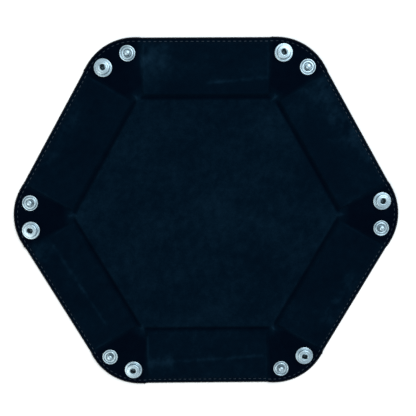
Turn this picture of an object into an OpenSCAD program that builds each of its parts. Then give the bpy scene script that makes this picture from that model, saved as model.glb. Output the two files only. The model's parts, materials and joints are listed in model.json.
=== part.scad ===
// Folding dice tray: a velvet and leather hexagon with a board in its floor and in each of
// its six sides. The six corners hold no board. Snapping the stud and the socket of a corner
// together pinches it into a fin, which lifts the two sides beside it and holds them up.
// The tray lies flat, with its origin at the middle of its underside. Z points up.

/* [Tray] */
// Distance across the rolling floor, from one fold line to the opposite one
floor_across = 165; // [140:1:200]
// Width of each side, from its fold line to the outer edge
side_width = 41; // [38:1:46]
// Radius of the rounded corners of the outer edge
corner_radius = 39; // [34:1:40]
// Angle that the sides stand at when the corners are snapped shut
closed_angle = 84; // [80:1:86]

/* [Cloth and board] */
// Thickness of the leather under the tray
leather_thick = 1.0; // [0.8:0.1:1.2]
// Thickness of the velvet on top
velvet_thick = 0.8; // [0.6:0.1:1.0]
// Thickness of the stiffening boards
board_thick = 2.0; // [1.6:0.1:2.2]
// Distance from a fold line to the edge of a board
board_from_fold = 3.7; // [3.7:0.1:5]
// Distance from the outer edge of a side to its board
board_from_edge = 5.5; // [5:0.1:8]
// Distance from the end of a fold line to the end of a side's board
board_from_end = 6.2; // [6.2:0.1:9]
// Radius at the corners of a side's board
board_corner = 2.0; // [1:0.1:3]

/* [Snaps] */
// Distance from the end of a fold line to the middle of the two snaps, along the corner
snap_out = 29; // [27:0.1:31]
// Distance from the middle of a corner to each snap
snap_aside = 9.7; // [9.4:0.1:11]
// Outer radius of the stud's flange
stud_radius = 5.5; // [5:0.1:5.8]
// Radius of the stud's round head
head_radius = 1.9; // [1.7:0.05:2]
// Outer radius of the socket
socket_radius = 6.3; // [6:0.1:6.6]
// Height of the socket above the velvet
socket_high = 3.3; // [3:0.1:3.4]
// Height of the caps under the leather
cap_high = 1.0; // [0.8:0.1:1.2]
// Distance between the two velvet faces of a corner that is snapped shut
closed_gap = 4.0; // [3.9:0.1:4.4]

/* [Hidden] */
$fn = 96;
SIDES = 6;
half_turn = 180 / SIDES;
fold_half = floor_across / 2 * tan(half_turn);
vertex_out = floor_across / 2 / cos(half_turn);

// Heights of the layers
board_top = leather_thick + board_thick;
pad_top = board_top + velvet_thick;
sheet_top = leather_thick + velvet_thick;
flap_low = cap_high;
flap_top = flap_low + sheet_top;

// Hinge lines. A side turns about the middle of its cloth, a stud flap about the middle of its
// own, and a socket flap about a ridge line above the velvet, where the closed faces meet.
side_hinge_z = sheet_top / 2;
flap_hinge_z = flap_low + sheet_top / 2;
ridge_z = flap_top + closed_gap / 2;

// The fold line of a flap lies this far along the side from the end of the side's fold line,
// and leans outwards by crease_lean, so that the closed flaps meet in the corner's mid plane.
crease_lean = atan(cos(closed_angle) * tan(half_turn));
rise = ridge_z - flap_hinge_z;
crease_back = (rise + (flap_hinge_z - side_hinge_z) * sin(closed_angle) / 2) / cos(half_turn);

// Room left in the solids where the cloth bends
fold_room = 1.0;
side_end_room = 1.3;
flap_side_room = 1.6;
ridge_room = 0.4;
flap_start = 5.0;

// How much is taken off the corners of the floor's hexagons
corner_blunt = 0.6;

// Longer than any side, for shapes that are then cut to the outline
far = side_width * 1.5;

// Centre of the arc that rounds the outer corner, measured outwards from the fold's end
arc_out = (side_width - corner_radius) / cos(half_turn);

// Snap details
flange_thick = 0.55;
rim_wide = 0.9;
rim_drop = 0.2;
neck_radius = head_radius - 0.3;
head_top = 2.95;
head_round = 0.7;
rivet_radius = 1.0;
rivet_gap = 0.05;
throat_gap = 0.2;
throat_radius = head_radius + throat_gap;
socket_floor = 0.8;
socket_rim = 1.0;
socket_neck = socket_radius - 1.5;
cap_edge = 0.35;

SIDE_NUMBERS = [1 : SIDES];

VELVET = [0.01, 0.07, 0.12];
LEATHER = [0.03, 0.03, 0.035];
BOARD = [0.55, 0.48, 0.38];
METAL = [0.78, 0.8, 0.82];

// ---- Places ----

// Side 1 faces down and to the right, and the others follow it round, seen from above.
// X points outwards from the fold line and Y points on round the tray.
module at_side(i) rotate(2 * half_turn * i - 3 * half_turn) translate([floor_across / 2, 0, 0]) children();

// Corner 1 points along +X, between sides 1 and 2. X points outwards from the fold's end.
module at_corner(i) rotate(2 * half_turn * (i - 1)) translate([vertex_out, 0, 0]) children();

// A snap's place in its corner: the stud comes first, on side i, then the socket
module at_stud() translate([snap_out, -snap_aside, 0]) children();
module at_socket() translate([snap_out, snap_aside, 0]) children();

// ---- Outlines ----

// Hexagon with blunted corners, given its size across the flats
module blunt_hexagon(across) {
    reach = across / 2 / cos(half_turn);
    intersection() {
        circle(reach, $fn = SIDES);
        circle(reach - corner_blunt);
    }
}

// Rectangle with rounded corners, from x0 to x1 and to the same distance each side of the X axis
module rounded_panel(x0, x1, half, r) {
    translate([x0 + r, -half]) square([x1 - x0 - 2 * r, 2 * half]);
    translate([x0, -half + r]) square([x1 - x0, 2 * half - 2 * r]);
    for (x = [x0 + r, x1 - r], y = [r - half, half - r]) translate([x, y]) circle(r);
}

// A side's board, grown by some distance all round
module side_board_outline(grow = 0)
    rounded_panel(board_from_fold - grow, side_width - board_from_edge + grow,
                  fold_half - board_from_end + grow, board_corner + grow);

// A side's cloth, which widens outwards along the fold lines of its flaps
module side_outline() {
    ends = [for (x = [fold_room, side_width])
        [x, fold_half - crease_back + x * tan(crease_lean) - side_end_room]];
    polygon([
        [ends[0].x, -ends[0].y], [ends[1].x, -ends[1].y],
        [ends[1].x, ends[1].y], [ends[0].x, ends[0].y],
    ]);
}

// The outer edge of the tray at a corner, as a filled shape that covers the stud's half
module corner_outline()
    translate([arc_out, 0]) {
        circle(corner_radius);
        rotate(-half_turn) translate([0, -far]) square([corner_radius, far]);
    }

// A stud flap: from the side's fold line to the middle of the corner
module flap_outline() {
    lean = crease_lean - half_turn;
    start = -crease_back * [sin(half_turn), cos(half_turn)] + flap_side_room * [-sin(lean), cos(lean)];
    run = (flap_start - start.x) / cos(lean);
    intersection() {
        polygon([
            start + run * [cos(lean), sin(lean)], start + far * [cos(lean), sin(lean)],
            [far, -ridge_room], [flap_start, -ridge_room],
        ]);
        corner_outline();
    }
}

// ---- Floor ----

module floor_board()
    color(BOARD) translate([0, 0, leather_thick]) linear_extrude(board_thick)
        blunt_hexagon(floor_across - 2 * board_from_fold);

module floor_velvet()
    color(VELVET) difference() {
        translate([0, 0, leather_thick]) {
            linear_extrude(velvet_thick) blunt_hexagon(floor_across - 2 * fold_room);
            linear_extrude(board_thick + velvet_thick)
                blunt_hexagon(floor_across - 2 * board_from_fold + 2 * velvet_thick);
        }
        floor_board();
    }

module floor_leather()
    color(LEATHER) linear_extrude(leather_thick)
        blunt_hexagon(floor_across - 2 * fold_room);

// ---- Sides ----

module side_board(i)
    color(BOARD) at_side(i) translate([0, 0, leather_thick]) linear_extrude(board_thick)
        side_board_outline();

module side_velvet(i)
    color(VELVET) difference() {
        at_side(i) translate([0, 0, leather_thick]) {
            linear_extrude(velvet_thick) side_outline();
            linear_extrude(board_thick + velvet_thick) side_board_outline(velvet_thick);
        }
        side_board(i);
    }

module side_leather(i)
    color(LEATHER) at_side(i) linear_extrude(leather_thick) side_outline();

// ---- Corners ----

// Velvet and leather of a flap, glued together, with the hole for its snap
module stud_flap(i)
    color(VELVET) at_corner(i) difference() {
        translate([0, 0, flap_low]) linear_extrude(sheet_top) flap_outline();
        at_stud() cylinder(h = flap_top * 2, r = rivet_radius + rivet_gap);
    }

module socket_flap(i)
    color(VELVET) at_corner(i) difference() {
        translate([0, 0, flap_low]) linear_extrude(sheet_top) mirror([0, 1]) flap_outline();
        at_socket() cylinder(h = flap_top * 2, r = rivet_radius + rivet_gap);
    }

// Flange with a raised rim, and a necked post with a round head
module stud_body()
    rotate_extrude() polygon(concat(
        [
            [rivet_radius + rivet_gap, 0], [stud_radius - 0.2, 0], [stud_radius, 0.2],
            [stud_radius, flange_thick - 0.15], [stud_radius - 0.15, flange_thick],
            [stud_radius - rim_wide, flange_thick],
            [stud_radius - rim_wide - rim_drop, flange_thick - rim_drop],
            [neck_radius + 0.6, flange_thick - rim_drop], [neck_radius, flange_thick + 0.3],
            [neck_radius, head_top - 1.6], [head_radius, head_top - 1.2],
        ],
        [for (a = [0 : 15 : 90])
            [head_radius - head_round + head_round * cos(a), head_top - head_round + head_round * sin(a)]],
        [[0, head_top], [0, head_top - 1.2], [rivet_radius + rivet_gap, head_top - 1.2]]
    ));

// Wide rim, a drum with a rounded lip, and a throat over a wider hollow for the stud's head
module socket_body()
    rotate_extrude() polygon([
        [rivet_radius + rivet_gap, 0], [socket_radius - 0.3, 0], [socket_radius, 0.3],
        [socket_radius, socket_rim - 0.3], [socket_radius - 0.3, socket_rim],
        [socket_neck + 0.3, socket_rim], [socket_neck, socket_rim + 0.3],
        [socket_neck, socket_high - 0.5], [socket_neck - 0.5, socket_high],
        [throat_radius + 0.4, socket_high], [throat_radius, socket_high - 0.4],
        [throat_radius, socket_high - 1.2], [throat_radius + 0.5, socket_high - 1.6],
        [throat_radius + 0.5, socket_floor], [rivet_radius + rivet_gap, socket_floor],
    ]);

// Low domed cap with the rivet that passes through the flap
module cap_body(r, rivet_high)
    rotate_extrude() polygon([
        [0, 0], [r - 1.6, 0], [r - cap_edge, cap_high / 3], [r, cap_high * 2 / 3],
        [r, cap_high], [rivet_radius, cap_high], [rivet_radius, rivet_high], [0, rivet_high],
    ]);

module stud(i) color(METAL) at_corner(i) at_stud() translate([0, 0, flap_top]) stud_body();

module stud_cap(i) color(METAL) at_corner(i) at_stud() cap_body(stud_radius, flap_top + 1.2);

module socket(i) color(METAL) at_corner(i) at_socket() translate([0, 0, flap_top]) socket_body();

module socket_cap(i)
    color(METAL) at_corner(i) at_socket() cap_body(socket_radius, flap_top + socket_floor - 0.1);

// ---- The whole tray ----

floor_board();
floor_velvet();
floor_leather();
for (i = SIDE_NUMBERS) {
    side_board(i);
    side_velvet(i);
    side_leather(i);
    stud_flap(i);
    stud(i);
    stud_cap(i);
    socket_flap(i);
    socket(i);
    socket_cap(i);
}
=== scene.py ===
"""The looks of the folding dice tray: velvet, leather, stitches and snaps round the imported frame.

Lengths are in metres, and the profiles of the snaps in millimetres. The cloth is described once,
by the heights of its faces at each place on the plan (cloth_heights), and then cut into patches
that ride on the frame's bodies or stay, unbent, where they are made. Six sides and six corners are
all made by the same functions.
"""

import json
import math

import bmesh
import bpy
import numpy as np
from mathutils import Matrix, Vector


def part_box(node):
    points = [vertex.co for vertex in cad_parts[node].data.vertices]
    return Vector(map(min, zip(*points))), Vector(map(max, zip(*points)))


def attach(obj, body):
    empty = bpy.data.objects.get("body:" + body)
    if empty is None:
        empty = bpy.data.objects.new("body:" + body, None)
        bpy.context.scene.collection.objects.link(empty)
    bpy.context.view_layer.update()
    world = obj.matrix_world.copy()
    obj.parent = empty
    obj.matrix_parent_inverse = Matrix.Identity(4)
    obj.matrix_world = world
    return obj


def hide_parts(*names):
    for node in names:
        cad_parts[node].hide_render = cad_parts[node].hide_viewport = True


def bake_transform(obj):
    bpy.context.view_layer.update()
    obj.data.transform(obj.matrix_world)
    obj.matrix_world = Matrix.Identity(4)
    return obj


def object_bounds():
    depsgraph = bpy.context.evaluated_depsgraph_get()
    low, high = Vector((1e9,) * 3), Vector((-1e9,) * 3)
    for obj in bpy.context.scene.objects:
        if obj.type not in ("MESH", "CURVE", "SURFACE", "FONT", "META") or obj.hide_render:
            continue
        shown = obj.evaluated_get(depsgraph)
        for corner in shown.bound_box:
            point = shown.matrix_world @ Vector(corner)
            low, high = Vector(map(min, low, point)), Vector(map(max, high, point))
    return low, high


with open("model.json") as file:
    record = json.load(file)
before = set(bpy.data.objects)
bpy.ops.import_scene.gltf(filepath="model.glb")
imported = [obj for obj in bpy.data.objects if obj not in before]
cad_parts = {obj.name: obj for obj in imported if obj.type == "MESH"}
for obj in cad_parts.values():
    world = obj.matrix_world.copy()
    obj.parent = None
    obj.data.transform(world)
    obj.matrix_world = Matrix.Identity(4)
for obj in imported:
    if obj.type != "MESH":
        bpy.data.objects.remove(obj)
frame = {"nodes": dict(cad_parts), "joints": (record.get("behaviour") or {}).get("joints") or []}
cad_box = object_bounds()

MM = 0.001
SIDES = 6
SIXTY = math.radians(60)
THIRTY = math.radians(30)
COS, SIN, TAN = math.cos(THIRTY), math.sin(THIRTY), math.tan(THIRTY)

# ---------------------------------------------------------------- sizes, from the frame

JOINTS = {j["name"]: j for j in frame["joints"]}


def joint_place(name):
    return Vector(JOINTS[name]["pos_m"])


FOLD = joint_place("side_1_fold").xy.length  # middle of the tray to a fold line
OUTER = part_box("side_3_leather")[1].y  # middle of the tray to its edge
WIDTH = OUTER - FOLD
HALF = FOLD * TAN  # half of a fold line
VERTEX = FOLD / COS  # middle of the tray to the end of a fold line
ROUND = (cad_box[1].x - VERTEX - WIDTH / COS) / (1 - 1 / COS)  # radius of the rounded corners
ARC_OUT = (WIDTH - ROUND) / COS  # end of a fold line to the centre of that arc

PAD_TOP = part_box("floor_velvet")[1].z
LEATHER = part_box("floor_leather")[1].z
FLAP_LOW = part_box("corner_1_stud_flap")[0].z
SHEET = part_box("corner_1_stud_flap")[1].z - FLAP_LOW
VELVET = SHEET - LEATHER
FLAP_TOP = FLAP_LOW + SHEET

STUD_MIDDLE = (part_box("corner_1_stud")[0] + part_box("corner_1_stud")[1]) / 2
SNAP_OUT = STUD_MIDDLE.x - VERTEX
SNAP_ASIDE = -STUD_MIDDLE.y
STUD_RADIUS = (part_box("corner_1_stud")[1].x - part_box("corner_1_stud")[0].x) / 2
SOCKET_RADIUS = (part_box("corner_1_socket")[1].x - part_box("corner_1_socket")[0].x) / 2

# The crease that a stud flap folds on: how far it starts back from the fold's end, and its lean
along_side = Vector((SIN, COS))
CREASE_BACK = (Vector((VERTEX, 0)) - joint_place("stud_half_1_fold").xy).dot(along_side)
crease_way = -Vector(JOINTS["stud_half_1_fold"]["axis"]).xy.normalized()
CREASE_LEAN = math.asin(crease_way.dot(along_side))
CREASE_TAN = math.tan(CREASE_LEAN)

# ---------------------------------------------------------------- sizes of the looks

FOLD_STRIP = 5.2 * MM  # half width of the strip of cloth along a fold line
RIDGE_STRIP = 4.9 * MM  # half width of the cloth that turns over between two flaps
PATCH_BACK = 8.0 * MM  # a corner's cloth starts this far back along a side
FLAP_START = 5.0 * MM  # the flaps start this far out from the fold's end
FOOT = 1.8 * MM  # and their leather starts here, inside the ends of the fold strips
RIM = 0.9 * MM  # width of the black leather edge that shows round the velvet
STITCH_IN = 3.0 * MM  # from the edge to the line of stitches
STITCHES_PER_SIXTH = 37
STITCH_LONG = 2.3 * MM
THREAD = 0.23 * MM  # radius of the thread
THREAD_LOW = 0.12 * MM  # from the leather's underside up to the thread there
SPRING_HIGH = 2.9 * MM  # from the flap up to the spring in a socket
BOARD_EDGE = 37.6 * MM  # foot of the slope down from a side's board, measured from its fold
BOARD_END = 3.3 * MM  # foot of the slope at the end of a side's board
SIDE_ROWS = 38  # rows of points from a fold to the outer edge, before the ones close to the edge
TURN_ROWS = 48  # the same, on the cloth of a corner


def smooth(x):
    """0 below 0, 1 above 1, and a smooth step between."""
    x = np.clip(x, 0, 1)
    return x * x * (3 - 2 * x)


def bell(x):
    """1 at 0, falling away smoothly on both sides."""
    return np.exp(-x * x)


def crest(distance, wide, high):
    """A rounded ridge along the line where distance is 0. wide and high are millimetres."""
    return high * MM * bell(distance / (wide * MM))


def rise(distance, wide):
    """0 up to the line where distance is 0, and 1 from that many millimetres past it."""
    return smooth(distance / (wide * MM))


# ---------------------------------------------------------------- places on the plan


def turned(points, angle):
    """Points on the plan, turned about the middle of the tray."""
    c, s = math.cos(angle), math.sin(angle)
    return np.stack(
        [c * points[..., 0] - s * points[..., 1], s * points[..., 0] + c * points[..., 1]], -1
    )


def side_angle(i):
    return SIXTY * i - math.radians(90)


def corner_angle(i):
    return SIXTY * (i - 1)


def on_side(i, n, t):
    """Plan places from n, outwards from the fold line of side i, and t, on round the tray."""
    return turned(np.stack(np.broadcast_arrays(FOLD + n, t), -1), side_angle(i))


def on_corner(i, m, s):
    """Plan places from m, outwards from the end of the folds, and s, across corner i."""
    return turned(np.stack(np.broadcast_arrays(VERTEX + m, s), -1), corner_angle(i))


def after(i):
    return i % SIDES + 1


def sector(x, y):
    """For each place: n and t on its nearest side, and that side's number less one."""
    angles = np.array([side_angle(i) for i in range(1, SIDES + 1)])
    out = x[..., None] * np.cos(angles) + y[..., None] * np.sin(angles) - FOLD
    along = -x[..., None] * np.sin(angles) + y[..., None] * np.cos(angles)
    which = out.argmax(-1)
    pick = which[..., None]
    return (
        np.take_along_axis(out, pick, -1)[..., 0],
        np.take_along_axis(along, pick, -1)[..., 0],
        which,
    )


def near_corner(n, t):
    """A side's n and t, seen from the corner they are nearest to: how far back from the end of
    the fold line, out from it and across the corner, and how far past the flap's crease."""
    back = HALF - np.abs(t)
    past = (crease_back(n) - back) * math.cos(CREASE_LEAN)
    return back, n * COS - back * SIN, n * SIN + back * COS, past


def crease_back(n):
    """How far back from the end of its fold line a side ends, at a distance out from the fold."""
    return CREASE_BACK - n * CREASE_TAN


def edge_distance(n, t):
    """How far a place lies inside the tray's rounded edge."""
    reach = OUTER - ROUND
    beyond = np.maximum(n + FOLD - reach, 0)
    past = np.maximum(np.abs(t) - reach * TAN, 0)
    return ROUND - np.hypot(beyond, past)


def edge_point(inset, along):
    """Corner places (m, s) on the edge, moved in by inset, at a length along it from the
    corner's middle: less than 0 on the side before, more than 0 on the side after."""
    r = ROUND - inset
    turn = np.clip(along / r, -THIRTY, THIRTY)
    rest = np.abs(along) - np.abs(turn) * r
    m = ARC_OUT + r * np.cos(turn) - rest * SIN
    s = r * np.sin(turn) + np.sign(along) * rest * COS
    return m, s


def edge_length(inset, back):
    """The length along the edge from a corner's middle to the place on a side that is that far
    back from the end of its fold line."""
    return (ROUND - inset) * THIRTY + back + ARC_OUT * SIN


# ---------------------------------------------------------------- soft unevenness


def make_waves(seed, count, shortest, longest):
    """Plane waves with seeded directions, for gentle unevenness."""
    rng = np.random.default_rng(seed)
    length = shortest * (longest / shortest) ** rng.random(count)
    way = rng.random(count) * 2 * math.pi
    phase = rng.random(count) * 2 * math.pi
    return np.cos(way) / length, np.sin(way) / length, phase


def ripple(waves, x, y):
    """The waves' sum at each place, mostly from -1 to 1."""
    kx, ky, phase = waves
    total = np.zeros_like(x)
    for a, b, p in zip(kx, ky, phase):
        total += np.sin(2 * math.pi * (a * x + b * y) + p)
    return total / math.sqrt(len(phase))


CLOTH_WAVES = make_waves(3, 14, 16 * MM, 70 * MM)
BLOTCH_WAVES = make_waves(11, 40, 7 * MM, 45 * MM)
PATCH_WAVES = make_waves(23, 24, 30 * MM, 120 * MM)
SCUFF_WAVES = make_waves(31, 40, 3 * MM, 12 * MM)


def puckers(seed):
    """Short ridges where the cloth gathers at the end of a fold: turn, place, length, height."""
    rng = np.random.default_rng(seed)
    return [
        (
            (k - 1) * 0.55 + rng.uniform(-0.2, 0.2),
            rng.uniform(-2.5, 1.0) * MM,
            rng.uniform(-1.2, 1.2) * MM,
            rng.uniform(1.8, 3.0) * MM,
            rng.uniform(0.25, 0.5) * MM,
        )
        for k in range(3)
    ]


PUCKERS = [puckers(40 + i) for i in range(SIDES)]
PUCKER_WIDE = 0.7 * MM


def pucker_height(x, y):
    """How high the gathers at the six fold ends stand."""
    total = np.zeros_like(x)
    for i, ridges in enumerate(PUCKERS):
        place = turned(np.stack([x, y], -1), -corner_angle(i + 1))
        m, s = place[..., 0] - VERTEX, place[..., 1]
        for turn, out, aside, long, high in ridges:
            c, k = math.cos(turn), math.sin(turn)
            run = c * (m - out) + k * (s - aside)
            off = -k * (m - out) + c * (s - aside)
            total += high * bell(run / long) * bell(off / PUCKER_WIDE)
    return total


# ---------------------------------------------------------------- the cloth's faces


def flap_share(m, past):
    """1 on the flaps of the corners, sloping to 0 on the sides and the floor."""
    return rise(past + 2.8 * MM, 2.8) * rise(m - 1 * MM, 4)


def leather_low(n, t):
    """Height of the leather's underside: raised under the flaps, with grooves along the folds,
    the stitches and the outer edges of the boards."""
    back, m, _, past = near_corner(n, t)
    d = edge_distance(n, t)
    flap = flap_share(m, past)
    low = FLAP_LOW * flap + crest(n, 0.8, 0.3) * rise(back, 4)
    low = low + crest(d - STITCH_IN, 0.4, 0.15)
    return low + crest(n - BOARD_EDGE + 0.6 * MM, 0.7, 0.12) * (1 - flap)


def seam_groove(n, t):
    """Depth of the groove in the leather along the crease between a side and the socket flap
    before it, where the two close tightly."""
    _, m, _, past = near_corner(n, t)
    seam = np.clip(1 - (np.abs(past) - 0.04 * MM) / (0.62 * MM), 0, 1) * (t < 0)
    return 0.97 * LEATHER * seam * rise(m - 1 * MM, 2)


def board_lift(n, back):
    """1 where a board lies under the velvet, sloping to 0 at its edges."""
    floor = rise(-n - 0.2 * MM, 2.5)
    side = rise(n - 0.2 * MM, 2.5) * rise(BOARD_EDGE - n, 2) * rise(back - BOARD_END, 1.7)
    return np.maximum(floor, side)


def velvet_top(meet, n, t, x, y):
    """Height of the velvet's top: padded over the boards, gathered at the fold ends, creased
    along the corners, raised round the snaps, gently uneven and sewn down near the edge."""
    back, m, aside, past = near_corner(n, t)
    d = edge_distance(n, t)
    flap = flap_share(m, past)
    lift = board_lift(n, back)
    top = meet + VELVET + (PAD_TOP - meet - VELVET) * lift
    top = top + crest(np.hypot(m, aside), 3.4, 1.0) * (1 - lift) + pucker_height(x, y)
    top = top - crest(aside, 1.1, 0.22) * flap
    across = np.where(t > 0, -aside, aside)
    for snap, radius in ((-SNAP_ASIDE, STUD_RADIUS), (SNAP_ASIDE, SOCKET_RADIUS)):
        r = np.hypot(m - SNAP_OUT, across - snap)
        top = top + crest(r - radius - 1.3 * MM, 0.9, 0.13)
    uneven = 0.10 * MM * ripple(CLOTH_WAVES, x, y)
    top = top + uneven * rise(d - STITCH_IN, 2) * (1 - 0.5 * lift)
    roll = np.sin(math.pi * np.clip((d - RIM) / (STITCH_IN - RIM), 0, 1))
    return top + 0.2 * MM * roll - crest(d - STITCH_IN, 0.45, 0.24)


def cloth_heights(x, y):
    """Heights at each place: leather's underside, where leather and velvet meet, velvet's
    underside and velvet's top. Nothing is taken off at the tray's edge yet."""
    n, t, _ = sector(x, y)
    low = leather_low(n, t)
    meet = low + LEATHER
    top = velvet_top(meet, n, t, x, y)
    return low + seam_groove(n, t), meet, np.maximum(meet, top - VELVET), top


def velvet_faces(x, y):
    """Underside and top of the velvet, which ends in a round edge inside the leather rim."""
    _, meet, under, top = cloth_heights(x, y)
    n, t, _ = sector(x, y)
    edge = np.clip((edge_distance(n, t) - RIM) / (0.7 * MM), 0, 1)
    return under, meet + (top - meet) * np.sqrt(1 - (1 - edge) ** 2)


def leather_faces(x, y):
    """Underside and top of the leather, which ends in a round painted bead."""
    low, meet, _, _ = cloth_heights(x, y)
    n, t, _ = sector(x, y)
    d = edge_distance(n, t)
    half = RIM / 2
    arch = np.sqrt(np.clip(1 - ((d - half) / half) ** 2, 0, 1))
    middle = low + 0.8 * MM
    bead = middle + 0.72 * MM * arch
    top = np.where(d < half, bead, np.where(d < RIM, np.maximum(meet, bead), meet))
    bottom = np.where(d < half, middle - (middle - low) * arch, low)
    return bottom, top


FLOOR_TONE = 1.10
SIDE_TONES = np.array([0.80, 0.95, 0.92, 0.85, 0.86, 0.95])  # of sides 1 to 6

# Streaks along the sides, partly brushed pile and partly painted highlight along shallow wrinkles:
# side, distance from the fold, lean, start and stop along the side, width and strength
BRUSH_AND_HIGHLIGHT_STREAKS = [
    (5, 22 * MM, -0.03, -42 * MM, 34 * MM, 1.3 * MM, 0.40),
    (5, 32 * MM, 0.02, -52 * MM, -22 * MM, 8 * MM, 0.40),
    (6, 24 * MM, -0.06, -28 * MM, 42 * MM, 1.2 * MM, 0.40),
    (6, 24 * MM, 0.0, -46 * MM, -22 * MM, 4 * MM, 0.70),
    (3, 13.3 * MM, -0.084, -46 * MM, 2 * MM, 1.2 * MM, 0.45),
    (3, 26 * MM, 0.0, 20 * MM, 54 * MM, 10 * MM, 0.60),
    (2, 40.7 * MM, -0.18, -30 * MM, 50 * MM, 8 * MM, 0.42),
    (2, 12 * MM, -0.05, -40 * MM, 30 * MM, 8 * MM, -0.14),
    (3, 7 * MM, 0.0, -50 * MM, 34 * MM, 5 * MM, -0.14),
    (4, 30 * MM, 0.05, -30 * MM, 30 * MM, 5 * MM, 0.20),
    (1, 30 * MM, 0.0, -30 * MM, 20 * MM, 6 * MM, 0.25),
]


def tone_and_painted_light(x, y):
    """How light the velvet looks at each place: lightest on the rolling floor, mottled, with
    painted shade in the corners and the folds, darker outside the stitches, with painted highlights
    along the ends of the boards and on the gathers at the fold ends, and with streaks that are
    partly brushed pile and partly painted highlight along shallow wrinkles."""
    n, t, which = sector(x, y)
    back, m, _, past = near_corner(n, t)
    patch, blotch, scuff = (ripple(w, x, y) for w in (PATCH_WAVES, BLOTCH_WAVES, SCUFF_WAVES))
    value = FLOOR_TONE + (SIDE_TONES[which] - FLOOR_TONE) * rise(n, 3)
    value = value + 0.05 * bell(np.hypot(x + 8 * MM, y - 5 * MM) / (60 * MM))
    value = value * (1 + 0.10 * patch + 0.08 * blotch) * (1 + 0.05 * scuff)

    # Streaks, partly brushed pile and partly painted highlight along shallow wrinkles, broken up by
    # the unevenness of the pile
    patchiness = 1 + 0.3 * scuff + 0.4 * blotch
    for side, out, lean, start, stop, wide, gain in BRUSH_AND_HIGHLIGHT_STREAKS:
        fade = max(5 * MM, 1.4 * wide)
        run = smooth((t - start) / fade) * smooth((stop - t) / fade)
        off = (n - out - lean * (t - start)) / wide
        value = value + gain * bell(off) * run * (which == side - 1) * patchiness

    # Painted shade on the flaps in the corners, and a painted highlight along the raised ends of
    # the boards
    value = value * (1 - 0.6 * rise(past + 2 * MM, 3.4) * rise(m - 1 * MM, 6))
    ridge = bell((back - BOARD_END - 1.2 * MM) / (0.8 * MM)) * rise(n - 3 * MM, 4)
    ridge = ridge * rise(WIDTH - 3 * MM - n, 5)
    value = value + 0.3 * (1 + ripple(PATCH_WAVES, y, x)) * ridge

    # Painted shade in the folds, a painted highlight on the gathers at their ends, and a dark edge
    # outside the stitches
    value = value * (1 - 0.6 * bell(n / (1.2 * MM)) * rise(back - 1 * MM, 3))
    value = value + pucker_height(x, y) / MM
    value = value * (1 - 0.35 * rise(STITCH_IN - edge_distance(n, t), 1.5))
    return np.clip(value, 0.12, 2.6)


# ---------------------------------------------------------------- meshes


def tidy_mesh(name, verts, faces, material, crisp=50):
    """A mesh object with merged points, outward faces and smooth shading up to an angle."""
    mesh = bpy.data.meshes.new(name)
    mesh.from_pydata(verts, [], faces)
    bm = bmesh.new()
    bm.from_mesh(mesh)
    bmesh.ops.remove_doubles(bm, verts=bm.verts, dist=2e-6)
    bmesh.ops.dissolve_degenerate(bm, edges=bm.edges, dist=1e-6)
    bmesh.ops.recalc_face_normals(bm, faces=bm.faces)
    bm.to_mesh(mesh)
    bm.free()
    mesh.polygons.foreach_set("use_smooth", [True] * len(mesh.polygons))
    mesh.set_sharp_from_angle(angle=math.radians(crisp))
    mesh.materials.append(material)
    piece = bpy.data.objects.new(name, mesh)
    bpy.context.scene.collection.objects.link(piece)
    return piece


def ring_faces(rings, sides, closed=False, first=0):
    """Quads from each ring of points to the next. closed joins the last ring to the first."""
    faces = []
    for k in range(rings if closed else rings - 1):
        here, there = first + k * sides, first + (k + 1) % rings * sides
        for a in range(sides):
            b = (a + 1) % sides
            faces.append([here + a, here + b, there + b, there + a])
    return faces


def points_of(piece):
    return np.array([v.co for v in piece.data.vertices], float)


def store(piece, name, values):
    """Stores a number at each point of a piece, for its material to read."""
    attribute = piece.data.attributes.new(name, "FLOAT", "POINT")
    attribute.data.foreach_set("value", values.astype(np.float32))


def slab(name, plans, faces_at, material, wrap=False):
    """Closed sheets over grids of plan places, as one piece. faces_at gives the heights of their
    two faces. wrap joins the last column of the first grid to its first."""
    points, faces = [], []
    for plan in plans:
        rows, cols = plan.shape[:2]
        x, y = plan[..., 0], plan[..., 1]
        low, high = faces_at(x, y)
        index = np.arange(rows * cols).reshape(rows, cols) + sum(len(p) for p in points)
        under = rows * cols
        points.append(np.stack([x, y, high], -1).reshape(-1, 3))
        points.append(np.stack([x, y, low], -1).reshape(-1, 3))
        loops = [index[0], index[-1]]
        if wrap and plan is plans[0]:
            index = np.concatenate([index, index[:, :1]], 1)
            loops = [index[0], index[-1]]
        else:
            loops += [index[:, 0], index[:, -1]]
        corners = (index[:-1, :-1], index[:-1, 1:], index[1:, 1:], index[1:, :-1])
        quads = np.stack(corners, -1).reshape(-1, 4)
        faces += quads.tolist() + (quads[:, ::-1] + under).tolist()
        for loop in loops:
            for p, q in zip(loop[:-1].tolist(), loop[1:].tolist()):
                faces.append([p, q, q + under, p + under])
    return tidy_mesh(name, np.concatenate(points).tolist(), faces, material)


def paint_tone(piece):
    """Stores how light the velvet is at each point of a piece, painted shade and painted highlights
    included.
    """
    points = points_of(piece)
    store(piece, "tone_and_painted_light", tone_and_painted_light(points[:, 0], points[:, 1]))


def between(inner, outer, steps, edge_rows):
    """Rows of places from an inner line to an outer one: evenly spaced ones, and then the rows
    at the given distances from the outer line."""
    length = np.linalg.norm(outer - inner, axis=-1, keepdims=True)
    rows = []
    for share in np.linspace(0, 1, steps, endpoint=False):
        rows.append(inner + (outer - inner) * share * (1 - edge_rows.max() / length))
    for distance in edge_rows:
        rows.append(outer + (inner - outer) * distance / length)
    return np.stack(rows)


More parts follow.
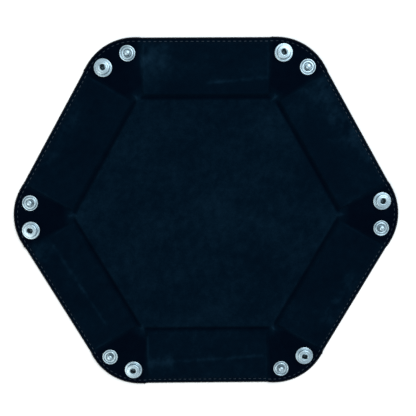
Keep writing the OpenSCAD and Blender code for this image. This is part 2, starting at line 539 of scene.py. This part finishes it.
# How far in from its outer edge a patch has its last rows of points:
# close together over the line of stitches and over the velvet's and the leather's round edges
VELVET_ROWS = np.array([5.0, 4.4, 3.9, 3.5, 3.2, 2.95, 2.7, 2.4, 2.1, 1.8, 1.5, 1.2, 0.9, 0.65,
                        0.45, 0.3, 0.18, 0.09, 0.03, 0]) * MM
LEATHER_ROWS = np.array([5.0, 4.2, 3.7, 3.35, 3.0, 2.65, 2.2, 1.6, 1.0, 0.93, 0.89, 0.84, 0.72,
                         0.55, 0.4, 0.28, 0.16, 0.08, 0.03, 0]) * MM


def layer(kind):
    """Inset, rows, faces and material of the velvet or the leather."""
    if kind == "velvet":
        return RIM, VELVET_ROWS, velvet_faces, velvet
    return 0.0, LEATHER_ROWS, leather_faces, leather


def finish_layer(piece, kind, plan, angle):
    """What every patch of cloth gets, once its mesh is made: the velvet is given its tone. The size
    of its plan, along and across the direction at that angle, and the area of its upward faces are
    worked out, but nothing is kept of them."""
    if kind == "velvet":
        paint_tone(piece)
    size = np.ptp(turned(plan, -angle).reshape(-1, 2), axis=0)
    area = sum(p.area * p.normal.z for p in piece.data.polygons if p.normal.z > 0)
    min(area, float(size.prod()))


def seam_start():
    """n where the seam beside a socket flap meets the line on which the flaps start."""
    return (FLAP_START + CREASE_BACK * SIN) / (COS + CREASE_TAN * SIN)


def fold_edges(t, stud_end):
    """The lowest and highest n of a fold strip, at places t past its middle towards one end.
    stud_end says whether that end is the one with the side's own stud flap."""
    back = HALF - t
    if stud_end:
        wide = (PATCH_BACK, FOLD_STRIP)
        knee = (RIDGE_STRIP * COS - FLAP_START * SIN, RIDGE_STRIP * SIN + FLAP_START * COS)
    else:
        wide = (crease_back(FOLD_STRIP), FOLD_STRIP)
        knee = (crease_back(seam_start()), seam_start())
    tip = (-FLAP_START * SIN, FLAP_START * COS)
    high = np.interp(back, *zip(tip, knee, wide))
    return np.maximum(-FOLD_STRIP, -back / TAN), high


def fold_columns():
    """Places t along a fold strip, closer together near its ends."""
    end = HALF + FLAP_START * SIN
    near = np.linspace(0, 9 * MM, 31)
    right = end - near[::-1]
    count = int(round(2 * right[0] / (1.0 * MM)))
    middle = np.linspace(-right[0], right[0], count)[1:-1]
    return np.concatenate([-right[::-1], middle, right])


def fold_strip(i, kind):
    """The cloth along the fold line of side i, out to the flaps' tips at both ends."""
    _, _, faces_at, material = layer(kind)
    t = fold_columns()
    low, high = np.where(t > 0, fold_edges(t, True), fold_edges(-t, False))
    high = np.maximum(high, low)
    share = np.linspace(0, 1, 27)[:, None]
    plan = on_side(i, low + (high - low) * share, t)
    piece = slab(f"side_{i}_fold_{kind}", [plan], faces_at, material)
    finish_layer(piece, kind, plan, side_angle(i))
    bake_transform(piece)


def side_panel(i, kind):
    """The cloth of side i over its board, from the seam with the socket flap before it."""
    inset, edge_rows, faces_at, material = layer(kind)
    steps = np.concatenate([np.linspace(0, 0.06, 17)[:-1], np.linspace(0.06, 1, 76)])

    def line(n):
        start = -(HALF - crease_back(n))
        return on_side(i, n, start + (HALF - PATCH_BACK - start) * steps)

    plan = between(line(FOLD_STRIP), line(WIDTH - inset), SIDE_ROWS, edge_rows)
    piece = slab(f"side_{i}_{kind}_panel", [plan], faces_at, material)
    finish_layer(piece, kind, plan, side_angle(i))
    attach(piece, f"side_{i}")
    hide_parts(f"side_{i}_{kind}")


def blend_stud(piece):
    """Bakes the placement of a piece of corner i into its mesh, and leaves it unbent."""
    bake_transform(piece)


def blend_ridge(piece):
    """Bakes the placement of a piece of corner i into its mesh, and leaves it unbent."""
    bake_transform(piece)


def stud_turn(i, kind):
    """The cloth from side i across the crease into its stud flap."""
    inset, edge_rows, faces_at, material = layer(kind)
    share = np.linspace(0, 1, 70)
    r = ROUND - inset
    m, s = edge_point(inset, -edge_length(inset, PATCH_BACK) * (1 - share)
                      - r * math.asin(RIDGE_STRIP / r) * share)
    start = np.array([FOLD_STRIP * COS - PATCH_BACK * SIN, -FOLD_STRIP * SIN - PATCH_BACK * COS])
    stop = np.array([FLAP_START, -RIDGE_STRIP])
    inner = start + (stop - start) * share[:, None]
    plan = between(on_corner(i, inner[:, 0], inner[:, 1]), on_corner(i, m, s), TURN_ROWS, edge_rows)
    piece = slab(f"corner_{i}_stud_{kind}", [plan], faces_at, material)
    finish_layer(piece, kind, plan, corner_angle(i))
    blend_stud(piece)


def foot_faces(x, y):
    """The leather's faces, drawn in where the foot of a corner lies within the fold strips."""
    bottom, top = leather_faces(x, y)
    n, t, _ = sector(x, y)
    _, m, _, _ = near_corner(n, t)
    thin = rise(FLAP_START - m, 0.6) * rise(m + 3 * MM, 1)
    return bottom + 0.35 * MM * thin, top - 0.15 * MM * thin


def ridge_turn(i, kind):
    """The cloth from the stud flap of corner i across the ridge into its socket flap."""
    inset, edge_rows, faces_at, material = layer(kind)
    share = np.concatenate([np.linspace(0, 0.34, 34)[:-1], np.linspace(0.34, 1, 50)])
    r = ROUND - inset
    first = -r * math.asin(RIDGE_STRIP / r)
    last = edge_length(inset, crease_back(WIDTH - inset))
    m, s = edge_point(inset, first + (last - first) * share)
    seam = seam_start() * SIN + crease_back(seam_start()) * COS
    across = -RIDGE_STRIP + (seam + RIDGE_STRIP) * share
    inner = on_corner(i, FLAP_START, across)
    plan = between(inner, on_corner(i, m, s), TURN_ROWS, edge_rows)
    if kind == "leather":
        out = np.linspace(FOOT, FLAP_START, 12)[:-1, None]
        foot = on_corner(i, out, across * np.linspace(0.5, 0.9, 11)[:, None])
        plan = np.concatenate([foot, plan])
        faces_at = foot_faces
    piece = slab(f"corner_{i}_socket_{kind}", [plan], faces_at, material)
    finish_layer(piece, kind, plan, corner_angle(i))
    blend_ridge(piece)
    if kind == "velvet":
        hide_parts(f"corner_{i}_stud_flap", f"corner_{i}_socket_flap")


def floor_panel(kind):
    """The cloth over the floor, in rings of six straight runs."""
    _, _, faces_at, material = layer(kind)
    reach = FOLD - FOLD_STRIP
    run = np.linspace(-1, 1, 41)[:-1] * TAN
    ring = np.concatenate([
        turned(np.stack([np.ones_like(run), run], -1), side_angle(i)) for i in range(1, SIDES + 1)
    ])
    scale = reach * np.concatenate([np.linspace(0, 0.95, 44), np.linspace(0.96, 1, 8)])
    plans = [ring * scale[:, None, None]]
    if kind == "leather":
        m = np.linspace(-FOOT, 2.5 * FOOT, 12)[:, None]
        s = np.linspace(-1.2, 1.2, 10) * FOOT
        plans += [on_corner(i, m, s) for i in range(1, SIDES + 1)]
        faces_at = foot_faces
    piece = slab(f"floor_{kind}_panel", plans, faces_at, material, wrap=True)
    finish_layer(piece, kind, plans[0], 0)
    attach(piece, "floor")
    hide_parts(f"floor_{kind}")


# ---------------------------------------------------------------- materials


class Shader:
    """A material's nodes, made and linked in short calls."""

    def __init__(self, name, roughness, metallic=0.0):
        self.material = bpy.data.materials.new(name)
        self.material.use_nodes = True
        self.tree = self.material.node_tree
        self.body = self.tree.nodes["Principled BSDF"]
        self.body.inputs["Roughness"].default_value = roughness
        self.body.inputs["Metallic"].default_value = metallic
        self.place = self.node("ShaderNodeTexCoord").outputs["Object"]

    def node(self, kind, **settings):
        made = self.tree.nodes.new(kind)
        for key, value in settings.items():
            setattr(made, key, value)
        return made

    def link(self, source, target):
        self.tree.links.new(source, target)

    def noise(self, scale, detail=4.0, roughness=0.6):
        made = self.node("ShaderNodeTexNoise")
        made.inputs["Scale"].default_value = scale
        made.inputs["Detail"].default_value = detail
        made.inputs["Roughness"].default_value = roughness
        self.link(self.place, made.inputs["Vector"])
        return made.outputs["Fac"]

    def cells(self, scale, feature="F1"):
        made = self.node("ShaderNodeTexVoronoi", feature=feature)
        made.inputs["Scale"].default_value = scale
        self.link(self.place, made.inputs["Vector"])
        return made.outputs["Distance"]

    def math(self, operation, a, b):
        made = self.node("ShaderNodeMath", operation=operation)
        for socket, value in zip(made.inputs, (a, b)):
            if isinstance(value, (int, float)):
                socket.default_value = value
            else:
                self.link(value, socket)
        return made.outputs[0]

    def span(self, source, low, high, to_low, to_high):
        """source, moved from one range to another and kept within it."""
        made = self.node("ShaderNodeMapRange")
        for name, value in (("From Min", low), ("From Max", high),
                            ("To Min", to_low), ("To Max", to_high)):
            made.inputs[name].default_value = value
        self.link(source, made.inputs["Value"])
        return made.outputs["Result"]

    def ramp(self, source, stops):
        made = self.node("ShaderNodeValToRGB")
        ramp = made.color_ramp
        while len(ramp.elements) < len(stops):
            ramp.elements.new(0.5)
        for element, (place, colour) in zip(ramp.elements, stops):
            element.position = place
            element.color = (*colour, 1)
        self.link(source, made.inputs["Fac"])
        return made.outputs["Color"]

    def bump(self, source, distance, strength=1.0, onto=None):
        made = self.node("ShaderNodeBump")
        made.inputs["Strength"].default_value = strength
        made.inputs["Distance"].default_value = distance
        self.link(source, made.inputs["Height"])
        if onto is not None:
            self.link(onto, made.inputs["Normal"])
        self.link(made.outputs["Normal"], self.body.inputs["Normal"])
        return made.outputs["Normal"]

    def set(self, **values):
        for name, value in values.items():
            self.body.inputs[name.replace("_", " ")].default_value = value


def velvet_material():
    """Very dark blue velvet: a tone painted on the cloth, with painted shade and painted highlights
    in it, mottled pile and a soft sheen.
    """
    m = Shader("velvet_pile", 0.95)
    painted = m.node("ShaderNodeAttribute", attribute_name="tone_and_painted_light").outputs["Fac"]
    mottle = m.span(m.noise(260, 5, 0.65), 0.3, 0.7, 0.86, 1.14)
    speck = m.span(m.noise(1500, 3, 0.6), 0.3, 0.7, 0.85, 1.15)
    light = m.math("MULTIPLY", m.math("MULTIPLY", painted, mottle), speck)
    colour = m.ramp(
        m.math("DIVIDE", light, 3.0),
        [(0.0, (0.0, 0.0004, 0.0026)), (0.33, (0.0003, 0.0038, 0.0090)),
         (1.0, (0.005, 0.018, 0.034))],
    )
    m.link(colour, m.body.inputs["Base Color"])
    pile = m.bump(m.noise(2600, 2, 0.5), 0.00012, 0.6)
    m.bump(m.noise(420, 4, 0.6), 0.00018, 0.5, onto=pile)
    m.set(Sheen_Weight=0.012, Sheen_Roughness=0.4, Sheen_Tint=(0.1, 0.45, 0.9, 1),
          Specular_IOR_Level=0.01)
    return m.material


def leather_material():
    """Black leather with a fine grain."""
    m = Shader("black_leather", 0.5)
    grain = m.cells(900, "DISTANCE_TO_EDGE")
    fold = m.noise(120, 5, 0.6)
    tint = m.span(fold, 0.3, 0.7, 0.0, 1.0)
    m.link(m.ramp(tint, [(0, (0.004, 0.0043, 0.0055)), (1, (0.010, 0.0106, 0.013))]),
           m.body.inputs["Base Color"])
    m.link(m.span(m.noise(600), 0.3, 0.7, 0.38, 0.6), m.body.inputs["Roughness"])
    first = m.bump(m.span(grain, 0.0, 0.25, 0.0, 1.0), 0.00008, 0.7)
    m.bump(fold, 0.0003, 0.35, onto=first)
    m.set(Specular_IOR_Level=0.3)
    return m.material


def metal_material():
    """Nickel plate, softly worn and faintly stained, with painted shade in its grooves and hollows.
    """
    m = Shader("nickel_plate", 0.22, metallic=1.0)
    hollow_shade = m.node("ShaderNodeAttribute", attribute_name="hollow_shade").outputs["Fac"]
    speck = m.noise(1400, 4, 0.7)
    stain = m.noise(350, 4, 0.6)
    # Painted shade in the grooves and hollows, added to faint stains
    shade_and_stain = m.math("ADD", hollow_shade, m.span(stain, 0.35, 0.75, 0.0, 0.3))
    m.link(m.ramp(shade_and_stain, [(0, (0.47, 0.60, 0.66)), (0.3, (0.33, 0.445, 0.51)),
                         (1, (0.05, 0.075, 0.09))]),
           m.body.inputs["Base Color"])
    m.link(m.span(speck, 0.35, 0.7, 0.36, 0.54), m.body.inputs["Roughness"])
    m.bump(speck, 0.00003, 0.4)
    return m.material


def thread_material():
    """Grey blue thread with a twist, darkened with the velvet's painted tone: painted shade in the
    corners.
    """
    m = Shader("grey_thread", 0.8)
    twist = m.noise(3000, 2, 0.5)
    painted = m.node("ShaderNodeAttribute", attribute_name="tone_and_painted_light").outputs["Fac"]
    # Painted shade: the thread is darker where the painted tone is dark, most of all in the corners
    light = m.math("MULTIPLY", twist, m.span(painted, 0.2, 0.75, 0.55, 1.1))
    m.link(m.ramp(light, [(0.2, (0.003, 0.008, 0.014)), (0.65, (0.027, 0.042, 0.062))]),
           m.body.inputs["Base Color"])
    m.bump(twist, 0.00008, 0.8)
    m.set(Specular_IOR_Level=0.2)
    return m.material


def board_material():
    """Pressed grey board with fibres."""
    m = Shader("pressed_board", 0.9)
    fibre = m.noise(500, 6, 0.7)
    m.link(m.ramp(fibre, [(0.3, (0.22, 0.17, 0.12)), (0.7, (0.42, 0.34, 0.25))]),
           m.body.inputs["Base Color"])
    m.bump(fibre, 0.0001, 0.5)
    return m.material


velvet = velvet_material()
leather = leather_material()
metal = metal_material()
thread = thread_material()
board = board_material()

# ---------------------------------------------------------------- stitches


def stitch_mesh(place, along, way, high, points, faces):
    """Adds one stitch: a short thread that dives into the cloth at both ends. way is 1 on the
    velvet and -1 on the leather."""
    rings, sides = 7, 8
    first = len(points)
    across = np.array([-along[1], along[0]])
    for k in range(rings):
        share = 2 * k / (rings - 1) - 1
        centre = place + along * share * STITCH_LONG / 2
        fat = THREAD * math.sqrt(max(1 - share ** 4, 0.04))
        rise = THREAD * (0.55 - 1.3 * share * share)
        for a in range(sides):
            angle = 2 * math.pi * a / sides
            p = centre + across * fat * math.cos(angle)
            points.append((p[0], p[1], high + way * rise + fat * math.sin(angle)))
    faces += ring_faces(rings, sides, first=first)
    faces.append([first + a for a in range(sides)][::-1])
    faces.append([first + (rings - 1) * sides + a for a in range(sides)])


def stitch_piece(i, along):
    """Name of the piece that holds a stitch at a length along the edge from corner i's middle,
    and what is done to that piece: on a side it is put on the side's body, in a corner its
    placement is baked into its mesh."""
    ridge = (ROUND - STITCH_IN) * math.asin(RIDGE_STRIP / (ROUND - STITCH_IN))
    if along < -edge_length(STITCH_IN, PATCH_BACK):
        return f"side_{i}_stitches", lambda piece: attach(piece, f"side_{i}")
    if along < -ridge:
        return f"corner_{i}_stud_stitches", lambda piece: blend_stud(piece)
    if along < edge_length(STITCH_IN, crease_back(WIDTH - STITCH_IN)):
        return f"corner_{i}_socket_stitches", lambda piece: blend_ridge(piece)
    return f"side_{after(i)}_stitches", lambda piece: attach(piece, f"side_{after(i)}")


def stitches():
    """The line of stitches round the tray, on both faces, cut where the bodies change."""
    half = edge_length(STITCH_IN, HALF)
    pitch = 2 * half / STITCHES_PER_SIXTH
    step = 0.1 * MM
    pieces = {}
    for i in range(1, SIDES + 1):
        for k in range(STITCHES_PER_SIXTH):
            along = -half + (k + 0.5) * pitch
            ends = [on_corner(i, *edge_point(STITCH_IN, along + d)) for d in (-step, step)]
            way = (ends[1] - ends[0]) / np.linalg.norm(ends[1] - ends[0])
            place = (ends[0] + ends[1]) / 2
            low, _, _, top = cloth_heights(place[:1], place[1:])
            name, follow = stitch_piece(i, along)
            points, faces, _ = pieces.setdefault(name, ([], [], follow))
            stitch_mesh(place, way, 1, float(top[0]), points, faces)
            stitch_mesh(place, way, -1, float(low[0]) + THREAD_LOW, points, faces)
    for name, (points, faces, follow) in pieces.items():
        piece = tidy_mesh(name, points, faces, thread, crisp=80)
        paint_tone(piece)
        follow(piece)


# ---------------------------------------------------------------- snaps


def curved(points, steps=3):
    """A smooth line through points, which bends less where they are close (Catmull-Rom)."""
    p = np.array(points, float)
    p = np.concatenate([[2 * p[0] - p[1]], p, [2 * p[-1] - p[-2]]])
    gaps = np.sqrt(np.linalg.norm(np.diff(p, axis=0), axis=1))
    line = []
    for k in range(1, len(p) - 2):
        a, b, c, d = p[k - 1:k + 3]
        before, gap, beyond = gaps[k - 1:k + 2]
        leave = (b - a) / before - (c - a) / (before + gap) + (c - b) / gap
        arrive = (c - b) / gap - (d - b) / (gap + beyond) + (d - c) / beyond
        for u in np.arange(steps) / steps:
            straight = b * (1 - smooth(u)) + c * smooth(u)
            bend = leave * u * (1 - u) ** 2 - arrive * u * u * (1 - u)
            line.append(tuple(straight + gap * bend))
    return line + [tuple(p[-2])]


def crevice(profile):
    """How deep each point of a profile lies between higher parts on both sides of it, 0 to 1. The
    metal is painted darker by it, as shade in its grooves and hollows.
    """
    r, z = np.array(profile).T
    spread = np.concatenate([-r, r])
    high = np.concatenate([z, z])
    steep = (high[None] - z[:, None]) / (np.abs(spread[None] - r[:, None]) + 0.3)
    inner = np.where(spread[None] < r[:, None], steep, 0).max(1)
    outer = np.where(spread[None] > r[:, None], steep, 0).max(1)
    return smooth((np.minimum(inner, outer) - 0.08) / 0.4)


def lathe(name, profile, place, segments=72):
    """A turned piece of metal from (radius, height) points in millimetres, from its axis or bore
    and back to where it starts."""
    angles = np.linspace(0, 2 * math.pi, segments, endpoint=False)
    verts = [
        (place[0] + r * MM * math.cos(a), place[1] + r * MM * math.sin(a), place[2] + z * MM)
        for r, z in profile
        for a in angles
    ]
    faces = ring_faces(len(profile), segments, closed=True)
    piece = tidy_mesh(name, verts, faces, metal, crisp=55)
    x, y, z = ((points_of(piece) - place) / MM).T
    on_profile = np.array(profile)
    gap = (np.hypot(x, y)[:, None] - on_profile[:, 0]) ** 2 + (z[:, None] - on_profile[:, 1]) ** 2
    # Painted shade: the metal is darker where a point lies deep between higher parts
    store(piece, "hollow_shade", crevice(profile)[gap.argmin(1)])
    return piece


# Radius and height in millimetres, from the middle of the top: the stud's round head, its neck
# and the two rings of its flange
STUD_PROFILE = [(0, 0)] + curved([
    (0, 2.95), (0.95, 2.86), (1.66, 2.45), (1.9, 1.85), (1.58, 1.14), (1.58, 0.55),
    (2.5, 0.28), (2.9, 0.48), (3.4, 0.6), (3.9, 0.52), (4.25, 0.28), (4.6, 0.42),
    (5.0, 0.62), (5.38, 0.5), (5.5, 0.16), (5.3, 0),
])

# The same for the socket: the rivet in its hollow, the throat, the lip and the flange
SOCKET_PROFILE = [(0, 0)] + curved([
    (0, 0.86), (0.4, 0.88), (0.72, 0.99), (1.2, 0.82), (1.5, 0.78), (2.3, 0.8), (2.6, 0.95),
    (2.62, 1.7), (2.2, 2.2), (2.15, 2.85), (2.38, 3.21), (2.7, 3.28), (3.15, 3.14), (4.0, 3.08),
    (4.6, 2.8), (4.8, 2.2), (4.8, 1.5), (5.0, 1.08), (5.75, 1.08), (6.18, 0.84), (6.3, 0.35),
    (6.08, 0),
])


def cap_profile(radius):
    """A low dome that hangs under the leather, with a turned-in edge."""
    high = FLAP_LOW / MM
    dome = [
        (radius * math.sin(a), high * (1 - math.cos(a)) ** 0.8 * 0.96)
        for a in np.linspace(0, math.radians(88), 14)
    ]
    return dome + [(radius, high * 0.97), (radius - 0.15, high + 0.12), (0, high + 0.12)]


def spring(name, centre, z, turn):
    """The wire in a socket that grips the stud: two straight runs joined by two bends."""
    wide, reach, wire, sides = 1.86 * MM, 2.3 * MM, 0.2 * MM, 8
    run = math.sqrt(reach ** 2 - wide ** 2)
    bend = math.atan2(wide, run)
    path = []
    for sign in (1, -1):
        path += [(sign * x, sign * wide) for x in np.linspace(-run, run, 7)]
        arc = np.linspace(bend, -bend, 9)[1:-1]
        path += [(sign * reach * math.cos(a), sign * reach * math.sin(a)) for a in arc]
    path = turned(np.array(path), turn) + np.array(centre)
    count = len(path)
    verts = []
    for k in range(count):
        way = path[(k + 1) % count] - path[k - 1]
        across = np.array([-way[1], way[0]]) / np.linalg.norm(way)
        for a in range(sides):
            angle = 2 * math.pi * a / sides
            p = path[k] + across * wire * math.cos(angle)
            verts.append((p[0], p[1], z + wire * math.sin(angle)))
    faces = ring_faces(count, sides, closed=True)
    return tidy_mesh(name, verts, faces, metal, crisp=80)


def snap_piece(piece, body, *nodes):
    """Puts a piece of a snap on its body, in place of CAD nodes where it has any."""
    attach(piece, body)
    if nodes:
        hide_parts(*nodes)


def snap_half(i, half, aside, profile, radius):
    """One snap half of corner i, with its cap on the leather side."""
    place = on_corner(i, SNAP_OUT, aside)
    name, body = f"corner_{i}_{half}", f"{half}_half_{i}"
    snap_piece(lathe(f"{name}_turned", profile, (*place, FLAP_TOP)), body, name)
    snap_piece(lathe(f"{name}_dome", cap_profile(radius / MM), (*place, 0)), body, f"{name}_cap")


def snaps(i):
    """The two snap halves of corner i, and the spring in its socket."""
    snap_half(i, "stud", -SNAP_ASIDE, STUD_PROFILE, STUD_RADIUS)
    snap_half(i, "socket", SNAP_ASIDE, SOCKET_PROFILE, SOCKET_RADIUS)
    turn = np.random.default_rng(60 + i).uniform(0, math.pi)
    middle = on_corner(i, SNAP_OUT, SNAP_ASIDE)
    piece = spring(f"corner_{i}_socket_spring", middle, FLAP_TOP + SPRING_HIGH, turn)
    snap_piece(piece, f"socket_half_{i}")


# ---------------------------------------------------------------- the tray

for kind in ("velvet", "leather"):
    floor_panel(kind)
    for i in range(1, SIDES + 1):
        fold_strip(i, kind)
        side_panel(i, kind)
        stud_turn(i, kind)
        ridge_turn(i, kind)
stitches()
for i in range(1, SIDES + 1):
    snaps(i)
for name in ["floor_board"] + [f"side_{i}_board" for i in range(1, SIDES + 1)]:
    materials = frame["nodes"][name].data.materials
    materials.clear()
    materials.append(board)

# ---------------------------------------------------------------- stage, light and camera


def stage_floor():
    """A plain pale floor, just below the tray."""
    mesh = bpy.data.meshes.new("studio_floor")
    reach, drop = 3.0, 0.2 * MM
    corners = ((-reach, -reach), (reach, -reach), (reach, reach), (-reach, reach))
    mesh.from_pydata([(x, y, -drop) for x, y in corners], [], [(0, 1, 2, 3)])
    m = Shader("studio_floor", 0.9)
    m.link(m.ramp(m.noise(3), [(0, (0.93, 0.93, 0.93)), (1, (0.95, 0.95, 0.95))]),
           m.body.inputs["Base Color"])
    m.set(Specular_IOR_Level=0.0)
    mesh.materials.append(m.material)
    floor = bpy.data.objects.new("studio_floor", mesh)
    bpy.context.scene.collection.objects.link(floor)


def area_light(name, place, size, power, colour):
    """A square light that faces the tray."""
    light = bpy.data.lights.new(name, "AREA")
    light.size = size
    light.energy = power
    light.color = colour
    lamp = bpy.data.objects.new(name, light)
    lamp.location = place
    lamp.rotation_euler = (-Vector(place)).to_track_quat("-Z", "Y").to_euler()
    bpy.context.scene.collection.objects.link(lamp)


def studio():
    """A soft sky, dimmer overhead than at its sides, a cool key light and a warm fill."""
    world = bpy.data.worlds.new("studio")
    world.use_nodes = True
    tree = world.node_tree
    place = tree.nodes.new("ShaderNodeTexCoord")
    parts = tree.nodes.new("ShaderNodeSeparateXYZ")
    sky = tree.nodes.new("ShaderNodeValToRGB")
    for element, at, colour in zip(sky.color_ramp.elements, (0.35, 1.0),
                                   ((1.0, 1.05, 1.1, 1), (0.45, 0.52, 0.58, 1))):
        element.position = at
        element.color = colour
    tree.links.new(place.outputs["Generated"], parts.inputs[0])
    tree.links.new(parts.outputs["Z"], sky.inputs["Fac"])
    tree.links.new(sky.outputs["Color"], tree.nodes["Background"].inputs["Color"])
    tree.nodes["Background"].inputs["Strength"].default_value = 0.85
    bpy.context.scene.world = world
    area_light("key", (0.45, 0.6, 0.8), 0.8, 9, (0.9, 0.97, 1.0))
    area_light("fill", (-0.7, -0.5, 0.8), 0.8, 6, (1.0, 0.95, 0.85))
    bpy.context.scene.view_settings.view_transform = "Standard"


def camera():
    """A camera above the tray, tipped a little away from straight down."""
    lens = bpy.data.cameras.new("photo_camera")
    lens.lens = 42.65
    lens.sensor_width = 36
    eye = bpy.data.objects.new("photo_camera", lens)
    eye.location = (-0.001, 0.0376, 0.35)
    eye.rotation_euler = (math.radians(-5.29), math.radians(-0.38), math.radians(-0.32))
    bpy.context.scene.collection.objects.link(eye)
    bpy.context.scene.camera = eye


stage_floor()
studio()
camera()
